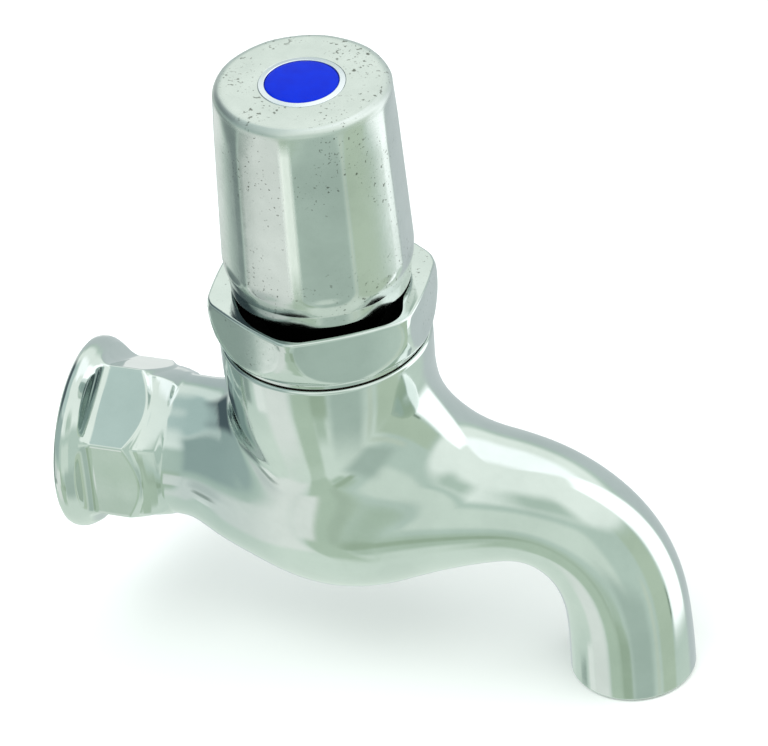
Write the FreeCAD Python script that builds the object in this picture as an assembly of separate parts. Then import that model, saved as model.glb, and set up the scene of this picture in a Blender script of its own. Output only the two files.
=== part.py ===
import FreeCAD, Part
import math
import os

# Bib tap. Millimetres, +Z up. The origin is the centre of the inlet's mouth, in the plane
# of its flange, and the spout points along +X. The spindle is upright.
os.makedirs("parts", exist_ok=True)
V = FreeCAD.Vector
EPS = 0.02                      # overshoot that keeps cuts from ending on a face
edge_break = 0.4                # bevel on turned corners
drill_point = 1.5               # depth of the cone that a drill leaves

# Inlet: half-inch pipe socket, hexagon and wall flange
thread_minor = 9.3155           # radius at the crests of the female thread
thread_length = 14.0
flange_radius = 17.2
flange_thick = 3.6
flange_hollow = 1.2             # how deep the flare behind the flange is drawn in
flange_round = 0.9
hex_flats = 27.0
hex_start = 4.6
hex_length = 12.2
hex_chamfer = 1.6
hex_foot_chamfer = 0.9
inlet_neck = 13.0
hex_cone = 2.6                  # length of the cone from the hexagon to the neck
neck_sink = 0.9                 # the cone ends this far inside the neck's surface
hex_relief = 0.3                # turned faces next to the hexagon stay this far inside its flats

# Bowl and spout: heights are from the inlet's axis
spindle_x = 48.3
bowl_height = 18.2
bowl_width = 17.1
bowl_drop = 4.6
root_height = 12.9              # half height of the spout's root
spout_radius = 10.8
spout_dip = 1.9                 # how far the spout's axis runs below the inlet's
spout_reach = 101.2
outlet_drop = 35.2
outlet_radius = 11.1
outlet_bore = 8.7
outlet_bore_length = 12.0

# Neck
neck_top = 30.9
neck_radius = 18.7
neck_waist = 17.4
waist_height = 14.0
neck_foot = 15.5
neck_chamfer = 0.6
neck_blend = 5.0
section_points = 8

# Waterways
inlet_way_radius = 6.0
inlet_turn = 20.5               # where the inlet passage starts to dip
inlet_way_dip = 11.8
outlet_way_radius = 6.5
under_seat = 8.0
under_seat_floor = 18.0
seat_floor = 0.0                # top of the wall that carries the seat
seat_wall = 2.5
chamber_low = 10.5
chamber_step = 6.0
chamber_slope = 2.5
chamber = 13.0
mouth_length = 11.0             # threaded length in the neck
barrel_radius = 14.0            # bonnet's male thread

# Clearances
thread_gap = 0.05
press_gap = 0.03
running_gap = 0.06
loose_gap = 0.25
rest_gap = 0.3

# Seat and jumper valve
seat_bore = 6.6
seat_shank = 7.8
seat_flange = 9.6
seat_crown = 2.0
seat_rim = 1.0
crown_width = 1.3
washer_radius = 9.4
washer_thick = 3.0
plate_radius = 9.8
plate_thick = 2.5
stud_radius = 2.4
stud_length = 7.6
keeper_radius = 5.2
keeper_thick = 0.8
jumper_nut_flats = 7.0
jumper_nut_thick = 2.6
stem_radius = 3.0
stem_length = 14.0
clip_thick = 0.8
clip_groove = 0.7
clip_height = 3.6               # above the spindle's foot
clip_play = 0.1
clip_reach = 0.6                # how far the clip stands out of the stem

# Spindle
spindle_thread = 6.5
spindle_foot = 5.6
foot_length = 2.6
spindle_thread_length = 14.0
shank_radius = 4.8
lead = 3.0
turns = 1.75
spline_radius = 4.0
spline_root = 3.55
spline_teeth = 16
spline_length = 12.0
spindle_top = 64.0
screw_radius = 2.0
tap_depth = 12.0

# Bonnet
bonnet_lift = 0.3               # face of the bonnet above the neck's face
bonnet_washer_thick = 1.2
bonnet_washer_radius = 17.2
collar_radius = 18.1
collar_height = 0.7
ring_flats = 34.8
ring_corner = 19.9
ring_angle = -62.0              # direction of one flat's normal
ring_top = 41.9
ring_top_chamfer = 1.1
ring_low_chamfer = 3.3
well_flats = 32.0
well_corner = 11.0
well_floor = 34.5
tower_radius = 10.4
nose_radius = 9.6
nose_foot = 14.0
nose_thread_top = 26.0
land_foot = 29.6
box_floor = 33.0
box_radius = 7.9

# Gland
gland_washer_thick = 0.8
packing_thick = 1.4
packing_rings = 2
follower_thick = 0.8
gland_nut_flats = 17.0
gland_nut_height = 3.6
gland_nut_chamfer = 0.8
gland_grip = 2.6                # how far the nut's shank enters the tower

# Handle
handle_foot = 42.3
handle_rim = 43.0
handle_wide = 49.8
handle_top = 82.8
rim_radius = 14.5
rim_round = 0.9
wide_radius = 16.85
top_radius = 15.55
top_round = 1.3
handle_flats = 10
handle_angle = -66.0            # direction of one flat's normal
skirt_wall = 1.9
crown_thick = 3.0
boss_radius = 8.6
boss_gap = 4.4                  # from the gland nut up to the boss with the handle down
socket_flats = 12.0
socket_gap_top = 0.6
screw_web = 3.0
head_well = 4.6
recess_radius = 7.5
recess_depth = 1.8
bush_wall_foot = 1.4            # bush starts this far below the spindle's teeth

# Screw, button and ring
screw_grip = 9.0
screw_head_radius = 3.6
screw_head = 2.6
slot_length = 5.2
slot_width = 1.0
slot_depth = 1.2
spring_thick = 0.9
spring_gap = 0.8
button_radius = 6.35
button_plug = 4.3
button_plug_length = 5.0
button_wall = 1.2
button_dome = 0.35
ring_inner_gap = 0.05
ring_proud = 0.25

# Heights and places that follow from the sizes above
axis = V(spindle_x, 0, 0)
up = V(0, 0, 1)
hex_end = hex_start + hex_length
neck_start = hex_end + hex_cone
approach = spindle_x - neck_start
spout_run = spout_reach - spindle_x
spout_bend = 0.38 * spout_run
spindle_travel = lead * turns
crown_top = seat_floor + seat_crown
plate_foot = crown_top + washer_thick
plate_top = plate_foot + plate_thick
bonnet_foot = neck_top + bonnet_lift
washer_foot = bonnet_foot - bonnet_washer_thick
spindle_thread_foot = plate_top + foot_length
spindle_thread_top = spindle_thread_foot + spindle_thread_length
packing_foot = box_floor + gland_washer_thick
packing_top = packing_foot + packing_thick * packing_rings
follower_top = packing_top + follower_thick
tower_top = follower_top + gland_grip
boss_foot = tower_top + gland_nut_height + boss_gap
teeth_foot = spindle_top - spline_length
web_foot = spindle_top + socket_gap_top
web_top = web_foot + screw_web
recess_floor = handle_top - recess_depth


def cylinder(radius, low, high, at=axis):
    return Part.makeCylinder(radius, high - low, at + V(0, 0, low), up)


def tube(outer, inner, low, high):
    return cylinder(outer, low, high).cut(cylinder(inner, low - EPS, high + EPS))


def turned(points):
    # Solid of revolution about the spindle, from (radius, height) corners
    corners = [V(spindle_x + r, 0, z) for r, z in points]
    face = Part.Face(Part.makePolygon(corners + corners[:1]))
    return face.revolve(axis, up, 360)


def turned_on_inlet(points):
    # Solid of revolution about the inlet's axis, from (distance from the wall, radius) corners
    corners = [V(x, 0, r) for x, r in points]
    face = Part.Face(Part.makePolygon(corners + corners[:1]))
    return face.revolve(V(0, 0, 0), V(1, 0, 0), 360)


def polygon_corners(sides, flats, normal_angle):
    reach = flats / 2 / math.cos(math.pi / sides)
    angles = [math.radians(normal_angle + (i + 0.5) * 360 / sides) for i in range(sides)]
    return [(reach * math.cos(a), reach * math.sin(a)) for a in angles]


def prism(sides, flats, low, high, normal_angle=0.0):
    corners = [axis + V(x, y, low) for x, y in polygon_corners(sides, flats, normal_angle)]
    return Part.Face(Part.makePolygon(corners + corners[:1])).extrude(V(0, 0, high - low))


def upright_edges(shape):
    found = []
    for edge in shape.Edges:
        ends = [v.Point for v in edge.Vertexes]
        if len(ends) == 2 and (ends[1] - ends[0]).cross(up).Length < 1e-6:
            found.append(edge)
    return found


def joined(shapes):
    return shapes[0].multiFuse(shapes[1:]).removeSplitter()


def body_sections():
    # Centre x and z, half height and half width of each section, from the inlet to the outlet
    return [
        (hex_end - hex_cone, 0.0, inlet_neck, inlet_neck),
        (neck_start + 0.07 * approach, 0.0, 1.01 * inlet_neck, 1.01 * inlet_neck),
        (neck_start + 0.31 * approach, 0.0, 1.09 * inlet_neck, 1.09 * inlet_neck),
        (spindle_x - 0.34 * approach, -0.52 * bowl_drop, 0.92 * bowl_height, 0.935 * bowl_width),
        (spindle_x, -bowl_drop, bowl_height, bowl_width),
        (spindle_x + 0.227 * spout_run, -0.7 * bowl_drop, 0.9 * bowl_height, 0.93 * bowl_width),
        (spindle_x + 0.473 * spout_run, -0.28 * bowl_drop, root_height, 1.04 * root_height),
        (spindle_x + 0.71 * spout_run, -spout_dip, spout_radius, 1.055 * spout_radius),
        (spindle_x + 0.896 * spout_run, -0.245 * outlet_drop, 0.99 * spout_radius, 0.972 * spout_radius),
        (spindle_x + 0.977 * spout_run, -0.51 * outlet_drop, spout_radius, 0.98 * spout_radius),
        (spindle_x + 0.996 * spout_run, -0.75 * outlet_drop, 0.98 * outlet_radius, 0.97 * outlet_radius),
        (spout_reach, -outlet_drop, outlet_radius, outlet_radius),
    ]


def section_wire(x, z, half_height, half_width, along):
    # Ellipse square to the unit vector along, with its seam at the top
    normal_up = V(-along.z, 0, along.x)
    points = []
    for i in range(section_points):
        t = 2 * math.pi * i / section_points
        across = V(0, half_width * math.sin(t), 0)
        points.append(V(x, 0, z) + normal_up * (half_height * math.cos(t)) + across)
    curve = Part.BSplineCurve()
    curve.interpolate(points, PeriodicFlag=True)
    return Part.Wire(curve.toShape())


def loft_sections(sections):
    wires = []
    last = len(sections) - 1
    for i, (x, z, half_height, half_width) in enumerate(sections):
        if i == 0:
            along = V(1, 0, 0)
        elif i == last:
            along = V(0, 0, -1)
        else:
            before, after = sections[i - 1], sections[i + 1]
            along = V(after[0] - before[0], 0, after[1] - before[1]).normalize()
        wires.append(section_wire(x, z, half_height, half_width, along))
    return Part.makeLoft(wires, True, False)


def inlet_outside():
    rim = flange_radius
    corner = hex_flats / 2 / math.cos(math.pi / 6)
    inside_flats = hex_flats / 2 - hex_relief
    flange = turned_on_inlet([
        (0.0, 0.0),
        (0.0, rim - flange_round),
        (0.1 * flange_thick, rim - 0.28 * flange_round),
        (0.3 * flange_thick, rim),
        (0.6 * flange_thick, rim - 0.22 * flange_round),
        (flange_thick, rim - flange_hollow),
        (hex_start + flange_round, corner - edge_break),
        (hex_start + flange_thick, inside_flats),
        (hex_end - hex_chamfer, inside_flats),
        (hex_end - hex_chamfer, 0.0),
    ])
    corners = [V(hex_start, y, z) for y, z in polygon_corners(6, hex_flats, 0.0)]
    hexagon = Part.Face(Part.makePolygon(corners + corners[:1])).extrude(V(hex_length, 0, 0))
    hexagon = hexagon.common(turned_on_inlet([
        (hex_start, 0.0),
        (hex_start, corner - hex_foot_chamfer),
        (hex_start + hex_foot_chamfer, corner + EPS),
        (hex_end - hex_chamfer, corner + EPS),
        (hex_end, corner - 1.1 * hex_chamfer),
        (hex_end, 0.0),
    ]))
    cone = turned_on_inlet([
        (hex_end - hex_chamfer, 0.0),
        (hex_end - hex_chamfer, inside_flats),
        (hex_end + edge_break, inside_flats),
        (neck_start, inlet_neck - neck_sink),
        (neck_start, 0.0),
    ])
    return joined([flange, hexagon, cone])


def neck_outside():
    return turned([
        (0.0, -bowl_drop),
        (neck_foot, -bowl_drop),
        (neck_foot, 2.0),
        (neck_waist, waist_height),
        (neck_radius, waist_height + 10.0),
        (neck_radius, neck_top - neck_chamfer),
        (neck_radius - neck_chamfer, neck_top),
        (0.0, neck_top),
    ])


def blended(shape, bowl):
    # Round the crease where the neck meets the bowl and the spout, as large as it will go
    crease = []
    for edge in shape.Edges:
        middle = edge.valueAt((edge.FirstParameter + edge.LastParameter) / 2)
        radius = math.hypot(middle.x - spindle_x, middle.y)
        on_bowl = bowl.distToShape(Part.Vertex(middle))[0] < 0.01
        if on_bowl and 6.0 < middle.z < neck_top - 3.0 and radius > neck_foot - 1.5:
            crease.append(edge)
    for share in (1.0, 0.8, 0.6, 0.45, 0.3, 0.2):
        try:
            rounded = shape.makeFillet(neck_blend * share, crease)
        except Exception:
            continue
        if rounded.isValid() and len(rounded.Solids) == 1:
            print("neck blend", round(neck_blend * share, 2), "on", len(crease), "edges")
            return rounded
    print("neck blend left sharp,", len(crease), "edges")
    return shape


def bent_path(points, turn_radius):
    # Straight runs through the points, joined by tangent arcs in the upright plane
    edges = []
    start = points[0]
    for before, corner, after in zip(points, points[1:], points[2:]):
        back = (before - corner).normalize()
        ahead = (after - corner).normalize()
        half_turn = (math.pi - back.getAngle(ahead)) / 2
        setback = turn_radius * math.tan(half_turn)
        first = corner + back * setback
        last = corner + ahead * setback
        inward = (back + ahead).normalize()
        centre = corner + inward * (turn_radius / math.cos(half_turn))
        middle = centre - inward * turn_radius
        edges.append(Part.LineSegment(start, first).toShape())
        edges.append(Part.Arc(first, middle, last).toShape())
        start = last
    edges.append(Part.LineSegment(start, points[-1]).toShape())
    return Part.Wire(edges)


def round_way(points, radius, turn_radius):
    path = bent_path(points, turn_radius)
    mouth = Part.Wire(Part.makeCircle(radius, points[0], points[1] - points[0]))
    return path.makePipeShell([mouth], True, False)


def inlet_way():
    start = V(thread_length - 1.0, 0, 0)
    turn = V(inlet_turn, 0, 0)
    under = V(spindle_x - 0.5 * under_seat, 0, -inlet_way_dip)
    return round_way([start, turn, under], inlet_way_radius, 2.0 * inlet_way_radius)


def outlet_way():
    # Out of the upper chamber over the wall, along the spout, then down to the outlet
    high = chamber_step + 1.6
    points = [
        V(spindle_x + 0.076 * spout_run, 0, high),
        V(spindle_x + 0.227 * spout_run, 0, high - 2.0),
        V(spindle_x + 0.416 * spout_run, 0, -spout_dip),
        V(spindle_x + 0.584 * spout_run, 0, -spout_dip),
    ]
    first = round_way(points, outlet_way_radius, 1.4 * outlet_way_radius)
    corner = V(spout_reach, 0, -spout_dip)
    low = V(spout_reach, 0, -outlet_drop + outlet_bore_length / 2)
    second = round_way([points[-1] - V(EPS, 0, 0), corner, low], outlet_way_radius, spout_bend)
    return [first, second]


def centre_way():
    # Everything that is bored on the spindle's axis, from the bowl up to the bonnet's seat
    mouth_foot = neck_top - mouth_length
    return turned([
        (0.0, -under_seat_floor),
        (0.5 * under_seat, -under_seat_floor),
        (under_seat, -under_seat_floor + 0.5 * under_seat),
        (under_seat, seat_floor - seat_wall),
        (seat_shank + thread_gap, seat_floor - seat_wall),
        (seat_shank + thread_gap, seat_floor),
        (chamber_low, seat_floor),
        (chamber_low, chamber_step),
        (chamber, chamber_step + chamber_slope),
        (chamber, mouth_foot),
        (barrel_radius + thread_gap, mouth_foot),
        (barrel_radius + thread_gap, washer_foot),
        (bonnet_washer_radius + loose_gap, washer_foot),
        (bonnet_washer_radius + loose_gap, neck_top + EPS),
        (0.0, neck_top + EPS),
    ])


def waterways():
    outlet = V(spout_reach, 0, -outlet_drop - EPS)
    straight = Part.makeCylinder(outlet_bore, outlet_bore_length + EPS, outlet, up)
    return [inlet_way(), centre_way()] + outlet_way() + [straight]


def inlet_bore():
    return turned_on_inlet([
        (-EPS, 0.0),
        (-EPS, thread_minor),
        (thread_length, thread_minor),
        (thread_length + drill_point, inlet_way_radius),
        (thread_length + drill_point, 0.0),
    ])


def body():
    bowl = loft_sections(body_sections())
    outside = joined([bowl, neck_outside()])
    outside = blended(outside, bowl)
    outside = joined([outside, inlet_outside()])
    solid = outside.cut(inlet_bore())
    for way in waterways():
        solid = solid.cut(way)
    return solid


def valve_seat():
    return turned([
        (seat_bore, seat_floor - seat_wall),
        (seat_shank, seat_floor - seat_wall),
        (seat_shank, seat_floor),
        (seat_flange, seat_floor),
        (seat_flange, seat_floor + seat_rim),
        (seat_bore + crown_width, crown_top),
        (seat_bore, crown_top),
    ])


def jumper_valve():
    low = plate_foot - stud_length
    top = plate_top + stem_length
    groove = plate_top + clip_height
    return turned([
        (0.0, low),
        (stud_radius - edge_break, low),
        (stud_radius, low + edge_break),
        (stud_radius, plate_foot),
        (plate_radius, plate_foot),
        (plate_radius, plate_top - edge_break),
        (plate_radius - edge_break, plate_top),
        (stem_radius, plate_top),
        (stem_radius, groove),
        (stem_radius - clip_groove, groove),
        (stem_radius - clip_groove, groove + clip_thick + clip_play),
        (stem_radius, groove + clip_thick + clip_play),
        (stem_radius, top - edge_break),
        (stem_radius - edge_break, top),
        (0.0, top),
    ])


def jumper_washer():
    return tube(washer_radius, stud_radius + running_gap, crown_top, plate_foot)


def jumper_keeper():
    return tube(keeper_radius, stud_radius + running_gap, crown_top - keeper_thick, crown_top)


def jumper_nut():
    high = crown_top - keeper_thick
    nut = prism(6, jumper_nut_flats, high - jumper_nut_thick, high)
    return nut.cut(cylinder(stud_radius + running_gap, high - jumper_nut_thick - EPS, high + EPS))


def jumper_clip():
    # Open ring that sits in the stem's groove and in the wider groove of the spindle's foot
    low = plate_top + clip_height + clip_play / 2
    ring = tube(stem_radius + clip_reach, stem_radius - clip_groove + clip_play / 2, low, low + clip_thick)
    gap = (stem_radius - clip_groove) * 0.87
    mouth = Part.makeBox(2 * stem_radius, gap, clip_thick + 2 * EPS, V(spindle_x, -gap / 2, low - EPS))
    return ring.cut(mouth)


def spline_outline(tip, root, grow):
    # Toothed outline round the spindle, its teeth straight-sided
    corners = []
    step = 2 * math.pi / spline_teeth
    for i in range(spline_teeth):
        for share, radius in ((-0.32, root), (-0.16, tip), (0.16, tip), (0.32, root)):
            a = (i + share) * step
            corners.append(axis + V((radius + grow) * math.cos(a), (radius + grow) * math.sin(a), 0))
    return corners


def spline_solid(low, high, grow):
    corners = [c + V(0, 0, low) for c in spline_outline(spline_radius, spline_root, grow)]
    return Part.Face(Part.makePolygon(corners + corners[:1])).extrude(V(0, 0, high - low))


def spindle():
    stem_bore = stem_radius + running_gap
    hollow_top = plate_top + stem_length + 1.0
    groove = plate_top + clip_height - clip_play
    groove_top = groove + clip_thick + 3 * clip_play
    groove_radius = stem_radius + clip_reach + 2 * clip_play
    shaft = turned([
        (0.0, hollow_top + drill_point),
        (stem_bore, hollow_top),
        (stem_bore, groove_top),
        (groove_radius, groove_top),
        (groove_radius, groove),
        (stem_bore, groove),
        (stem_bore, plate_top),
        (spindle_foot, plate_top),
        (spindle_foot, spindle_thread_foot),
        (spindle_thread, spindle_thread_foot + spindle_thread - spindle_foot),
        (spindle_thread, spindle_thread_top - edge_break),
        (spindle_thread - edge_break, spindle_thread_top),
        (shank_radius, spindle_thread_top),
        (shank_radius, teeth_foot),
        (0.0, teeth_foot),
    ])
    teeth = spline_solid(teeth_foot - EPS, spindle_top, 0.0)
    whole = joined([shaft, teeth])
    return whole.cut(cylinder(screw_radius + running_gap, spindle_top - tap_depth, spindle_top + EPS))


def ring_blank():
    # Hexagon with rounded corners, turned to a chamfer above and below
    low = bonnet_foot + collar_height
    hexagon = prism(6, ring_flats, low, ring_top, ring_angle)
    sharp = ring_flats / 2 / math.cos(math.pi / 6)
    corner_round = (sharp - ring_corner) / (1 / math.cos(math.pi / 6) - 1)
    if corner_round > edge_break:
        hexagon = hexagon.makeFillet(corner_round, upright_edges(hexagon))
    outline = turned([
        (0.0, low),
        (ring_flats / 2 + 0.1, low),
        (ring_corner + edge_break, low + ring_low_chamfer),
        (ring_corner + edge_break, ring_top - ring_top_chamfer),
        (ring_corner + 0.2 - ring_top_chamfer, ring_top),
        (0.0, ring_top),
    ])
    return hexagon.common(outline)


def bonnet():
    collar = cylinder(collar_radius, bonnet_foot, bonnet_foot + collar_height + EPS)
    barrel = cylinder(barrel_radius, neck_top - mouth_length + 2 * rest_gap, bonnet_foot + EPS)
    nose = cylinder(nose_radius, nose_foot, bonnet_foot)
    solid = joined([ring_blank(), collar, barrel, nose])
    well = prism(6, well_flats, well_floor, ring_top + EPS, ring_angle)
    well = well.makeFillet(well_corner, upright_edges(well))
    well = well.cut(cylinder(tower_radius, well_floor - EPS, tower_top))
    solid = solid.cut(well)
    inside = turned([
        (0.0, nose_foot - EPS),
        (spindle_thread + running_gap, nose_foot - EPS),
        (spindle_thread + running_gap, nose_thread_top),
        (spindle_thread + rest_gap, nose_thread_top),
        (spindle_thread + rest_gap, land_foot),
        (shank_radius + running_gap, land_foot),
        (shank_radius + running_gap, box_floor),
        (box_radius, box_floor),
        (box_radius, tower_top + EPS),
        (0.0, tower_top + EPS),
    ])
    return solid.cut(inside)


def bonnet_washer():
    return tube(bonnet_washer_radius, barrel_radius + loose_gap, washer_foot, bonnet_foot)


def gland_washer():
    return tube(box_radius - press_gap, shank_radius + running_gap, box_floor, packing_foot)


def gland_packing():
    rings = []
    for i in range(packing_rings):
        low = packing_foot + i * packing_thick
        rings.append(tube(box_radius - press_gap, shank_radius + running_gap, low, low + packing_thick))
    return Part.makeCompound(rings)


def gland_follower():
    return tube(box_radius - press_gap, shank_radius + running_gap, packing_top, follower_top)


def gland_nut():
    # Its shank is screwed into the tower and its head stands on the tower's rim
    head_top = tower_top + gland_nut_height
    reach = gland_nut_flats / 2 / math.cos(math.pi / 6)
    head = prism(6, gland_nut_flats, tower_top, head_top)
    head = head.common(turned([
        (0.0, tower_top),
        (reach + EPS, tower_top),
        (reach + EPS, head_top - gland_nut_chamfer),
        (reach - 1.6 * gland_nut_chamfer, head_top),
        (0.0, head_top),
    ]))
    nut = joined([head, cylinder(box_radius - thread_gap, follower_top, tower_top + EPS)])
    return nut.cut(cylinder(shank_radius + running_gap, follower_top - EPS, head_top + EPS))


def tapered_prism(low, low_radius, high, high_radius):
    wires = []
    for height, radius in ((low, low_radius), (high, high_radius)):
        flats = 2 * radius * math.cos(math.pi / handle_flats)
        corners = polygon_corners(handle_flats, flats, handle_angle)
        points = [axis + V(x, y, height) for x, y in corners]
        wires.append(Part.makePolygon(points + points[:1]))
    return Part.makeLoft(wires, True, True)


def handle_outside():
    slope = (wide_radius - top_radius) / (handle_top - handle_wide)
    shoulder = handle_top - top_round
    blank = turned([
        (0.0, handle_foot),
        (rim_radius - rim_round, handle_foot),
        (rim_radius - 0.3 * rim_round, handle_foot + 0.25 * rim_round),
        (rim_radius, handle_rim),
        (wide_radius, handle_wide),
        (top_radius + slope * top_round, shoulder),
        (top_radius - 0.3 * top_round, handle_top - 0.3 * top_round),
        (top_radius - top_round, handle_top),
        (0.0, handle_top),
    ])
    low = handle_foot - 1.0
    high = handle_top + 1.0
    flats = tapered_prism(low, wide_radius + slope * (handle_wide - low),
                          high, top_radius - slope * (high - handle_top))
    return blank.common(flats)


def handle():
    flat_share = math.cos(math.pi / handle_flats)
    wide = wide_radius * flat_share - skirt_wall
    narrow = top_radius * flat_share - skirt_wall
    ceiling = handle_top - crown_thick
    hollow = turned([
        (0.0, handle_foot - EPS),
        (rim_radius - skirt_wall, handle_foot - EPS),
        (wide, handle_wide),
        (narrow, ceiling),
        (0.0, ceiling),
    ])
    hollow = hollow.cut(cylinder(boss_radius, boss_foot, ceiling + EPS))
    solid = handle_outside().cut(hollow)
    solid = solid.cut(prism(6, socket_flats, boss_foot - EPS, web_foot))
    solid = solid.cut(cylinder(screw_radius + loose_gap, web_foot - EPS, web_top + EPS))
    solid = solid.cut(cylinder(head_well, web_top, recess_floor + EPS))
    return solid.cut(cylinder(recess_radius, recess_floor, handle_top + EPS))


def spline_bush():
    low = teeth_foot - bush_wall_foot
    bush = prism(6, socket_flats - 2 * press_gap, low, spindle_top)
    bush = bush.cut(spline_solid(teeth_foot, spindle_top + EPS, press_gap))
    return bush.cut(cylinder(shank_radius + running_gap, low - EPS, teeth_foot + EPS))


def handle_screw():
    head_foot = web_top + spring_thick
    head_top = head_foot + screw_head
    screw = turned([
        (0.0, spindle_top - screw_grip),
        (screw_radius - edge_break, spindle_top - screw_grip),
        (screw_radius, spindle_top - screw_grip + edge_break),
        (screw_radius, head_foot),
        (screw_head_radius, head_foot),
        (screw_head_radius, head_top - 2 * edge_break),
        (screw_head_radius - 2 * edge_break, head_top),
        (0.0, head_top),
    ])
    for turn in (0, 90):
        slot = Part.makeBox(slot_length, slot_width, slot_depth + EPS,
                            V(spindle_x - slot_length / 2, -slot_width / 2, head_top - slot_depth))
        slot.rotate(axis, up, turn)
        screw = screw.cut(slot)
    return screw


def screw_washer():
    # Split spring washer, pressed flat under the screw's head
    ring = tube(screw_head_radius, screw_radius + loose_gap, web_top, web_top + spring_thick)
    split = Part.makeBox(screw_head_radius + 1.0, spring_gap, spring_thick + 2 * EPS,
                         V(spindle_x, -spring_gap / 2, web_top - EPS))
    return ring.cut(split)


def index_button():
    plug_foot = recess_floor - button_plug_length
    edge = handle_top + ring_proud - 0.1
    bevel = 0.25
    button = turned([
        (0.0, plug_foot),
        (button_plug - edge_break, plug_foot),
        (button_plug, plug_foot + edge_break),
        (button_plug, recess_floor),
        (button_radius, recess_floor),
        (button_radius, edge - bevel),
        (button_radius - bevel, edge),
        (0.0, edge),
    ])
    ball_radius = (button_radius ** 2 + button_dome ** 2) / (2 * button_dome)
    ball = Part.makeSphere(ball_radius, axis + V(0, 0, edge + button_dome - ball_radius))
    lens = ball.common(cylinder(button_radius - bevel, edge - 0.1, edge + 2 * button_dome))
    whole = joined([button, lens])
    hollow = cylinder(button_plug - button_wall, plug_foot - EPS, recess_floor)
    return whole.cut(hollow)


def index_ring():
    top = handle_top + ring_proud
    return turned([
        (button_radius + ring_inner_gap, recess_floor),
        (recess_radius - press_gap, recess_floor),
        (recess_radius - press_gap, top - 0.2),
        (recess_radius - press_gap - 0.3, top),
        (button_radius + ring_inner_gap + 0.15, top),
        (button_radius + ring_inner_gap, top - 0.15),
    ])


pieces = {
    "body": body,
    "valve_seat": valve_seat,
    "bonnet_washer": bonnet_washer,
    "bonnet": bonnet,
    "gland_washer": gland_washer,
    "gland_packing": gland_packing,
    "gland_follower": gland_follower,
    "gland_nut": gland_nut,
    "jumper_valve": jumper_valve,
    "jumper_washer": jumper_washer,
    "jumper_keeper": jumper_keeper,
    "jumper_nut": jumper_nut,
    "jumper_clip": jumper_clip,
    "spindle": spindle,
    "spline_bush": spline_bush,
    "handle": handle,
    "handle_screw": handle_screw,
    "screw_washer": screw_washer,
    "index_button": index_button,
    "index_ring": index_ring,
}

for name, make in pieces.items():
    shape = make()
    print(name, "solids", len(shape.Solids), "valid", shape.isValid(), "volume", round(shape.Volume, 1))
    shape.exportStep("parts/" + name + ".step")
print("spindle travel", round(spindle_travel, 3))
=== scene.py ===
import bpy
import bmesh
import math
import numpy as np
from mathutils import Matrix, Vector


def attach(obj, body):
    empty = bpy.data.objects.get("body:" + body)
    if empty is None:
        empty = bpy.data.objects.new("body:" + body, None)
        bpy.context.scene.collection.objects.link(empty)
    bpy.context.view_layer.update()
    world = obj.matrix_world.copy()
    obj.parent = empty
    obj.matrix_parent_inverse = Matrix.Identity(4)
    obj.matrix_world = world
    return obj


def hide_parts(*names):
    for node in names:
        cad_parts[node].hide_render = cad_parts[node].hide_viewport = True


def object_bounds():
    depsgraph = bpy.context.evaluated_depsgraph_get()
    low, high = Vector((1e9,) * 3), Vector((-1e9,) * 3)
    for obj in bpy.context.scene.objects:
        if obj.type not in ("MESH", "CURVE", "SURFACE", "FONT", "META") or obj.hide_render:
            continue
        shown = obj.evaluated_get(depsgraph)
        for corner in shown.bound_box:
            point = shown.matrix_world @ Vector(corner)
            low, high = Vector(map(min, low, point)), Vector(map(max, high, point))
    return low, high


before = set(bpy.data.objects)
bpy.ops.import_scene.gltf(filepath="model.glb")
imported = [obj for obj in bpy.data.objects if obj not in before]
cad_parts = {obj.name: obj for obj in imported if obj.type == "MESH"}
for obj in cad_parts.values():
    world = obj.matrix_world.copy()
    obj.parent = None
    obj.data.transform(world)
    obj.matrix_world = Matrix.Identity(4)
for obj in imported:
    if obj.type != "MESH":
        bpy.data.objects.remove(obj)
cad_low, cad_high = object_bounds()

# Shapes are worked out in millimetres and written to the meshes in metres
MM = 0.001
# Distance from the wall to the spindle's upright axis
SPINDLE = 48.3
TAU = 2 * math.pi
NEAR_ZERO = 1e-6
SAME_PLACE = 2e-4


# Curves and distances
def smooth_min(a, b, reach):
    """The lesser of two distances, eased where they differ by less than reach."""
    share = np.clip(0.5 + 0.5 * (b - a) / reach, 0, 1)
    return b + (a - b) * share - reach * share * (1 - share)


def smooth_max(a, b, reach):
    return -smooth_min(-a, -b, reach)


def smoothstep(low, high, x):
    t = np.clip((x - low) / (high - low), 0, 1)
    return t * t * (3 - 2 * t)


def read_table(table, at, column=1):
    """Reads a column of a table between its rows; the first column is what it is read by."""
    return np.interp(at, [row[0] for row in table], [row[column] for row in table])


def unit(vectors):
    length = np.linalg.norm(vectors, axis=1, keepdims=True)
    return vectors / np.maximum(length, 1e-12)


def spline_through(knots, values, at):
    """Natural cubic spline through the rows of values, read at the given places."""
    knots = np.array(knots, float)
    values = np.array(values, float)
    count = len(knots)
    gap = np.diff(knots)
    system = np.eye(count)
    right = np.zeros_like(values)
    for i in range(1, count - 1):
        system[i, i - 1:i + 2] = gap[i - 1], 2 * (gap[i - 1] + gap[i]), gap[i]
        right[i] = 6 * ((values[i + 1] - values[i]) / gap[i] - (values[i] - values[i - 1]) / gap[i - 1])
    bend = np.linalg.solve(system, right)
    i = np.clip(np.searchsorted(knots, at) - 1, 0, count - 2)
    width = gap[i][:, None]
    to_next = knots[i + 1][:, None] - at[:, None]
    from_last = at[:, None] - knots[i][:, None]
    curve = (bend[i] * to_next ** 3 + bend[i + 1] * from_last ** 3) / (6 * width)
    curve += (values[i] / width - bend[i] * width / 6) * to_next
    curve += (values[i + 1] / width - bend[i + 1] * width / 6) * from_last
    return curve


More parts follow.
